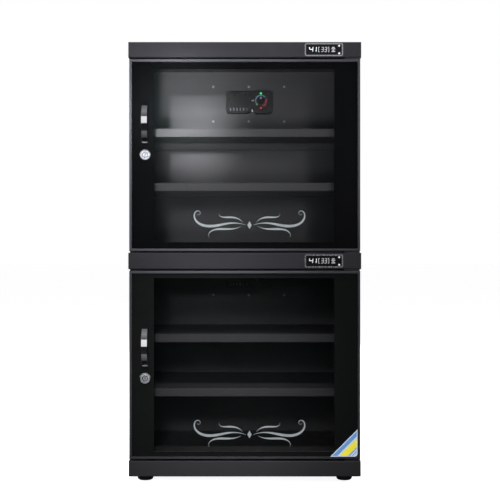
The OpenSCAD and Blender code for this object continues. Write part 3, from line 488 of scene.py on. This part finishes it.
def door_gasket(part):
    """The soft seal: a base strip, two bellows folds and a bulb, mitred at the corners."""
    side_inset, end_inset = 10.0, 3.5
    foot, top = DOOR_FOOT[part] + end_inset, DOOR_TOP[part] - end_inset
    # The seal's cross-section: how far in from its edge and how far behind the door
    profile = [(0.0, 0.0), (0.0, 1.1), (1.2, 1.5), (0.7, 2.1), (1.4, 2.6), (1.6, 3.2), (2.4, 3.65),
               (4.0, 3.7), (5.6, 3.65), (6.4, 3.2), (6.6, 2.6), (7.3, 2.1), (6.8, 1.5), (8.0, 1.1),
               (8.0, 0.0)]
    corners = [(-1, -1), (1, -1), (1, 1), (-1, 1)]
    bm = bmesh.new()
    rows = []
    for sx, sz in corners:
        row = []
        for inward, depth in profile:
            x = sx * (DOOR_X - side_inset - inward)
            z = (top - inward) if sz > 0 else (foot + inward)
            row.append(bm.verts.new((x, DOOR_BACK + depth, z)))
        rows.append(row)
    for k in range(4):
        a, b = rows[k], rows[(k + 1) % 4]
        for i in range(len(profile)):
            j = (i + 1) % len(profile)
            bm.faces.new((a[i], a[j], b[j], b[i]))
    piece = add_piece(f"seal_{part}", bm, GASKET, f"{part}_door")
    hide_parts(f"door_gasket_{part}")


def lock_trim(part):
    """The lock's bright rim, its faceted dish, the collar round the plug and the key plate."""
    z = LOCK_Z[part]
    # Each ring: its finish and slot, the count of its sides, and how its radius and height go
    rings = [
        ("rim", CHROME, "chrome", 48, [(10.4, -0.02), (10.6, 0.35), (11.2, 0.55), (11.9, 0.5),
                                       (12.3, 0.2), (12.2, -0.1), (10.4, -0.02)]),
        ("collar", CHROME, "chrome", 48, [(6.15, -0.02), (6.2, 1.1), (6.6, 1.25), (7.0, 1.1),
                                          (7.1, -0.02), (6.15, -0.02)]),
        ("dish", SATIN, None, 14, [(7.2, -0.02), (7.3, 0.95), (7.8, 1.0), (10.3, 0.1),
                                   (10.35, -0.02), (7.2, -0.02)]),
    ]
    for name, finish, slot, sides, profile in rings:
        bm = bmesh.new()
        lathe(bm, HANDLE_X, z, [(radius, LOCK_FACE - rise) for radius, rise in profile], sides)
        add_piece(f"lock_{name}_{part}", bm, finish, f"{part}_door", finish is CHROME)

    def upright(half_w, half_h):
        return rectangle(HANDLE_X - half_w, HANDLE_X + half_w, z - half_h, z + half_h)

    bm = bmesh.new()
    plate(bm, [circle(HANDLE_X, z, 4.9, 40), upright(0.65, 3.55)],
          LOCK_FACE - 0.35, LOCK_FACE + PRINT_IN)
    add_piece(f"key_plate_{part}", bm, SATIN, f"{part}_lock")
    # The floor of the key slot: a near-black plate, painted shade deep in the keyway.
    bm = bmesh.new()
    plate(bm, [upright(0.58, 3.45)], LOCK_FACE + 0.5, LOCK_FACE + 0.8)
    add_piece(f"key_slot_shade_{part}", bm, KNOB, f"{part}_lock")


# Displays

SEGMENTS = {
    "a": ((0, 1), (1, 1)), "b": ((1, 1), (1, 0.5)), "c": ((1, 0.5), (1, 0)),
    "d": ((0, 0), (1, 0)), "e": ((0, 0.5), (0, 0)), "f": ((0, 1), (0, 0.5)),
    "g": ((0, 0.5), (1, 0.5)),
}
LIT = {"0": "abcdef", "1": "bc", "3": "abcdg", "4": "bcfg"}


def digit(bm, figure, x, z, width, height, stroke_w, front, back):
    """A leaning seven-segment figure with its foot left at x, z."""
    slant, gap, bevel = 0.10, 0.05, 0.28
    inner_w, inner_h = width - stroke_w, height - stroke_w
    for name in LIT[figure]:
        (ax, az), (bx, bz) = SEGMENTS[name]
        a = Vector((ax * inner_w + stroke_w / 2, az * inner_h + stroke_w / 2))
        b = Vector((bx * inner_w + stroke_w / 2, bz * inner_h + stroke_w / 2))
        along = (b - a).normalized()
        across = Vector((-along.y, along.x)) * stroke_w / 2
        a, b = a + along * stroke_w * gap, b - along * stroke_w * gap
        tip = along * stroke_w * bevel
        points = [a, a + tip + across, b - tip + across, b, b - tip - across, a + tip - across]
        plate(bm, [[(x + p.x + p.y * slant, z + p.y) for p in points]], front, back)


def display_face(part):
    """The lit figures of a display: two large ones, then two small ones in brackets and a sign."""
    mid = DISPLAY_Z[part]
    layer = (LENS_FRONT - 0.06, LENS_FRONT)
    bright = bmesh.new()
    for figure, x, width in (("4", 148.4, 9.6), ("1", 156.6, 9.4)):
        digit(bright, figure, x, mid - 5.7, width, 12.6, 1.6, *layer)
    add_piece(f"display_large_{part}", bright, DIGIT, "cabinet")
    faint = bmesh.new()
    for x in (176.4, 184.0):
        digit(faint, "3", x, mid - 5.4, 6.0, 11.4, 1.3, *layer)
    low, high, thick = mid - 5.7, mid + 6.3, 1.0
    for x, way in ((170.6, 1), (195.6, -1)):
        arm, spine = x + way * 3.0, x + way * 1.1
        plate(faint, [[(x, high), (arm, high), (arm, high - thick), (spine, high - thick),
                       (spine, low + thick), (arm, low + thick), (arm, low), (x, low)]], *layer)
    bars = ((201.0, 209.6), (203.2, 207.4), (201.0, 209.6), (202.2, 208.4))
    for k, (x0, x1) in enumerate(bars):
        z = mid - 5.4 + k * 3.1
        plate(faint, [rectangle(x0, x1, z, z + 2.0)], *layer)
    add_piece(f"display_small_{part}", faint, FAINT, "cabinet")


# Drying units

def unit_vents(part):
    """The pale leaning slats that show in the slots of the housing."""
    vent_count, pitch, lean = 6, 8.7, 1.0
    low, high = UNIT_Z[part] - 21.0, UNIT_Z[part] - 15.0
    bm = bmesh.new()
    for i in range(vent_count):
        mid = UNIT_X - 27.0 + (i - (vent_count - 1) / 2) * pitch
        points = [(mid - 0.9 - lean, low), (mid + 0.7 - lean, low),
                  (mid + 0.9 + lean, high), (mid - 0.7 + lean, high)]
        plate(bm, [points], VENT_FACE + 0.5, VENT_FACE + 1.7)
    add_piece(f"vent_slats_{part}", bm, SLAT, "cabinet")


def unit_dial(part):
    """The print of the humidity dial: coloured arcs, ticks, a plain figure and the knob's mark."""
    x, z = DIAL_X, UNIT_Z[part] + DIAL_RISE
    # Each arc: its colour, its radii, and its two ends in degrees
    arcs = [("blue", BLUE_INK, 13.0, 15.4, 40, 206), ("red", RED_INK, 12.6, 15.9, -74, 20),
            ("green", GREEN_INK, 12.6, 15.8, 212, 232)]
    for colour, ink, inner, outer, start, end in arcs:
        bm = bmesh.new()
        plate(bm, [ring_sector(x, z, inner, outer, start, end)],
              DIAL_RING_FACE - PRINT_OUT, DIAL_RING_FACE + PRINT_IN)
        add_piece(f"dial_{colour}_{part}", bm, ink, "cabinet")
    layer = (DIAL_FACE - 0.06, DIAL_FACE + PRINT_IN)
    tick_count, first, step, inner, half_w = 11, 225, 27, 16.7, 0.25
    bm = bmesh.new()
    for k in range(tick_count):
        angle = math.radians(first - step * k)
        c, s = math.cos(angle), math.sin(angle)
        outer = 17.6 if k % 5 else 18.4
        corners = ((inner, -half_w), (outer, -half_w), (outer, half_w), (inner, half_w))
        plate(bm, [[(x + r * c - w * s, z + r * s + w * c) for r, w in corners]], *layer)
    for figure, dx in (("4", -25.4), ("0", -22.2)):
        digit(bm, figure, x + dx, z - 2.2, 2.6, 4.4, 0.6, *layer)
    add_piece(f"dial_ticks_{part}", bm, WHITE_INK, "cabinet")
    bm = bmesh.new()
    plate(bm, [rectangle(x - 0.55, x + 0.55, z + 3.2, z + 9.2)],
          KNOB_FACE - PRINT_OUT, KNOB_FACE + PRINT_IN)
    add_piece(f"knob_mark_{part}", bm, WHITE_INK, f"{part}_knob")


def unit_lamps_and_screws(part):
    """The domed collar round each lamp, above and below the dial, and the housing's screws. The
    collar glows in its lamp's material: a painted halo of the lamp's light.
    """
    reach = 19.4
    profile = [(1.62, -0.02), (1.7, 0.7), (2.1, 0.85), (2.6, 0.6), (2.8, -0.02), (1.62, -0.02)]
    # Each collar glows in its lamp's material: painted halo, the lamp's light spread round it.
    for name, lamp, side in (("green", GREEN, 1), ("red", RED, -1)):
        bm = bmesh.new()
        lathe(bm, DIAL_X, UNIT_Z[part] + DIAL_RISE + side * reach,
              [(radius, DIAL_FACE - rise) for radius, rise in profile], 28)
        add_piece(f"lamp_halo_collar_{name}_{part}", bm, lamp, "cabinet", True)
    bm = bmesh.new()
    for dx, dz in ((-43.5, 21.0), (-54.0, 6.5), (-4.0, 21.0)):
        screw_head(bm, UNIT_X + dx, UNIT_Z[part] + dz, VENT_FACE + 0.02, -1, 2.0, 1.1, 0.4)
    add_piece(f"housing_screws_{part}", bm, ZINC, "cabinet")


# Body details

def back_screws():
    """The screws round the back panel, each with its recess turned its own way."""
    sides = [(x, 60.0 + k * 185.0) for x in (-255.0, 255.0) for k in range(6)]
    rows = [(x, z) for x in (-160.0, -55.0, 55.0, 160.0) for z in (30.0, 527.0, 1010.0)]
    bm = bmesh.new()
    for x, z in sides + rows:
        screw_head(bm, x, z, BACK_OUTER - 0.02, 1, 3.4, 1.6, random.random() * 3)
    add_piece("back_screws", bm, ZINC, "cabinet")


def label_triangle(inset):
    """The label's outline: a right angle with a round corner, drawn in by the inset."""
    leg = LABEL_LEG - inset - inset * (1 + math.sqrt(2))
    x, z = LABEL_X - inset, LABEL_Z + inset
    radius, steps = LABEL_CORNER - inset, 10
    arc = [(x - radius + radius * math.sin(a), z + radius - radius * math.cos(a))
           for a in (math.radians(90 * i / steps) for i in range(steps + 1))]
    return [(x - leg, z)] + arc + [(x, z + leg)]


def corner_label():
    """A three-cornered label in plain colour bands on the lower door's glass."""
    border_out, bands_out = 0.12, 0.17
    # The border glows though it is no lamp: painted light that keeps it bright.
    border = Shader("label_border", Roughness=0.35, Emission_Strength=0.55)
    for socket in ("Base Color", "Emission Color"):
        border.tint(border.noise(120.0, 2.0), (0.66, 0.74, 0.90), (0.76, 0.84, 0.97), socket)
    bm = bmesh.new()
    plate(bm, [label_triangle(0.0)], GLASS_FRONT - border_out, GLASS_FRONT)
    add_piece("label_border", bm, border.material, "lower_door")

    # The bands glow the same way: painted light on plain print.
    bands = Shader("label_bands", Roughness=0.35, Emission_Strength=0.6)
    across = bands.tree.nodes.new("ShaderNodeVectorMath")
    across.operation = "DOT_PRODUCT"
    across.inputs[1].default_value = (1.0, 0.0, -1.0)
    bands.tree.links.new(bands.coords, across.inputs[0])
    corner = (LABEL_X - LABEL_Z) * MM
    place = bands.spread(across.outputs["Value"], 0.0, 1.0, corner - LABEL_LEG * MM, corner)
    blue, pale, yellow = (0.14, 0.32, 0.66), (0.58, 0.72, 0.93), (0.93, 0.82, 0.05)
    stops = [(0.0, blue), (0.23, pale), (0.29, yellow), (0.62, blue), (0.68, pale),
             (0.76, blue), (0.80, pale), (0.90, blue)]
    colour = bands.ramp(place, stops, True)
    bands.link(colour, "Base Color")
    bands.link(colour, "Emission Color")
    bm = bmesh.new()
    plate(bm, [label_triangle(1.7)], GLASS_FRONT - bands_out, GLASS_FRONT - border_out)
    add_piece("label_bands", bm, bands.material, "lower_door")


for door in PARTS:
    door_print(door)
    door_ornament(door)
    door_gasket(door)
    lock_trim(door)
    display_face(door)
    unit_vents(door)
    unit_dial(door)
    unit_lamps_and_screws(door)
back_screws()
corner_label()


# Stage and light

def studio_floor():
    """A pale floor that shines evenly and throws no light on the part."""
    size = 40.0
    mesh = bpy.data.meshes.new("floor")
    mesh.from_pydata([(-size, -size, 0), (size, -size, 0), (size, size, 0), (-size, size, 0)],
                     [], [(0, 1, 2, 3)])
    floor = bpy.data.objects.new("floor", mesh)
    scene.collection.objects.link(floor)
    shader = Shader("floor_paper", Roughness=0.9, Emission_Strength=0.92)
    cloud = shader.noise(0.8, 3.0)
    shader.tint(cloud, (0.86, 0.86, 0.86), (0.90, 0.90, 0.90))
    shader.tint(cloud, (0.995, 0.995, 0.995), (1.0, 1.0, 1.0), "Emission Color")
    mesh.materials.append(shader.material)
    floor.visible_diffuse = False
    floor.visible_glossy = False


def aim(light, place, target):
    """Puts a light in its place, turned to its target and left out of reflections."""
    light.location = place
    light.rotation_euler = (Vector(target) - Vector(place)).to_track_quat("-Z", "Y").to_euler()
    light.visible_glossy = False
    scene.collection.objects.link(light)


def area_light(name, place, target, size, watts):
    data = bpy.data.lights.new(name, "AREA")
    data.shape = "RECTANGLE"
    data.size, data.size_y = size
    data.energy = watts
    light = bpy.data.objects.new(name, data)
    light.visible_camera = False
    aim(light, place, target)


def spot_light(name, place, target, angle, radius, watts):
    data = bpy.data.lights.new(name, "SPOT")
    data.spot_size = math.radians(angle)
    data.spot_blend = 1.0
    data.shadow_soft_size = radius
    data.energy = watts
    aim(bpy.data.objects.new(name, data), place, target)


def studio_world():
    """White to the camera, dim for the shading, and for reflections light and dark bands by
    height, at full strength only in front of the part."""
    world = bpy.data.worlds.new("studio")
    world.use_nodes = True
    scene.world = world
    tree = world.node_tree
    nodes, links = tree.nodes, tree.links
    output = nodes["World Output"]
    nodes.remove(nodes["Background"])

    def background(strength, colour=None):
        node = nodes.new("ShaderNodeBackground")
        node.inputs["Strength"].default_value = strength
        if colour:
            node.inputs["Color"].default_value = (*colour, 1.0)
        return node

    coords = nodes.new("ShaderNodeTexCoord")
    split = nodes.new("ShaderNodeSeparateXYZ")
    links.new(coords.outputs["Generated"], split.inputs[0])
    height = nodes.new("ShaderNodeMapRange")
    height.inputs["From Min"].default_value = -1.0
    height.inputs["From Max"].default_value = 1.0
    links.new(split.outputs["Z"], height.inputs["Value"])
    bands = nodes.new("ShaderNodeValToRGB")
    # Each stop: a height from straight down, 0, to straight up, 1, and its brightness
    stops = [(0.0, 0.02), (0.02, 0.02), (0.035, 0.13), (0.19, 0.16), (0.215, 0.02), (0.44, 0.01),
             (0.497, 0.01), (0.512, 0.86), (0.765, 0.95), (0.785, 0.06), (0.88, 0.22), (1.0, 0.60)]
    while len(bands.color_ramp.elements) < len(stops):
        bands.color_ramp.elements.new(1.0)
    for element, (place, value) in zip(bands.color_ramp.elements, stops):
        element.position = place
        element.color = (value, value, value * 1.02, 1.0)
    links.new(height.outputs["Result"], bands.inputs["Fac"])
    front = nodes.new("ShaderNodeMapRange")
    front.interpolation_type = "SMOOTHSTEP"
    for socket, value in (("From Min", -0.9), ("From Max", -0.1),
                          ("To Min", 1.0), ("To Max", 0.30)):
        front.inputs[socket].default_value = value
    links.new(split.outputs["Y"], front.inputs["Value"])
    reflected = background(1.0)
    links.new(bands.outputs["Color"], reflected.inputs["Color"])
    links.new(front.outputs["Result"], reflected.inputs["Strength"])
    ambient = background(0.06, (0.95, 0.97, 1.0))
    white = background(1.0, (1.0, 1.0, 1.0))
    path = nodes.new("ShaderNodeLightPath")
    shaded = nodes.new("ShaderNodeMixShader")
    links.new(path.outputs["Is Glossy Ray"], shaded.inputs["Fac"])
    links.new(ambient.outputs[0], shaded.inputs[1])
    links.new(reflected.outputs[0], shaded.inputs[2])
    seen = nodes.new("ShaderNodeMixShader")
    links.new(path.outputs["Is Camera Ray"], seen.inputs["Fac"])
    links.new(shaded.outputs[0], seen.inputs[1])
    links.new(white.outputs[0], seen.inputs[2])
    links.new(seen.outputs[0], output.inputs["Surface"])


studio_floor()
studio_world()
# Each spot: its place, its target, its cone in degrees, its radius and its watts
spot_light("chamber_spot", (-0.211, -2.83, 0.91), (-0.135, 0.22, 0.855), 3.5, 0.09, 5000.0)
spot_light("chamber_glow", (-0.211, -2.83, 0.91), (-0.12, 0.22, 0.66), 10.5, 0.15, 385.0)
spot_light("upper_fill", (-0.08, -2.80, 0.42), (-0.14, 0.10, 1.05), 20.5, 0.16, 490.0)
spot_light("corner_fill", (-0.10, -2.83, 0.30), (-0.15, 0.22, 0.955), 7.0, 0.08, 740.0)
spot_light("lower_fill", (-0.20, -2.80, 1.10), (-0.10, -0.10, 0.24), 15.0, 0.20, 240.0)
spot_light("lower_high", (-0.05, -1.70, 1.95), (-0.02, -0.16, 0.29), 13.5, 0.13, 205.0)
spot_light("right_fill", (0.45, -2.80, 0.75), (0.27, -0.20, 0.74), 12.0, 0.12, 190.0)
# Each area light: its place, its target, its size and its watts
area_light("left", (-2.6, 0.4, 1.1), (0.0, 0.1, 0.6), (1.6, 1.8), 40.0)
area_light("right", (2.6, 0.6, 1.1), (0.0, 0.1, 0.6), (1.6, 1.8), 32.0)
area_light("back", (0.9, 3.0, 1.6), (0.0, 0.2, 0.5), (2.0, 1.6), 80.0)
area_light("top", (-0.1, -0.5, 3.0), (0.0, -0.1, 0.8), (1.4, 1.0), 70.0)
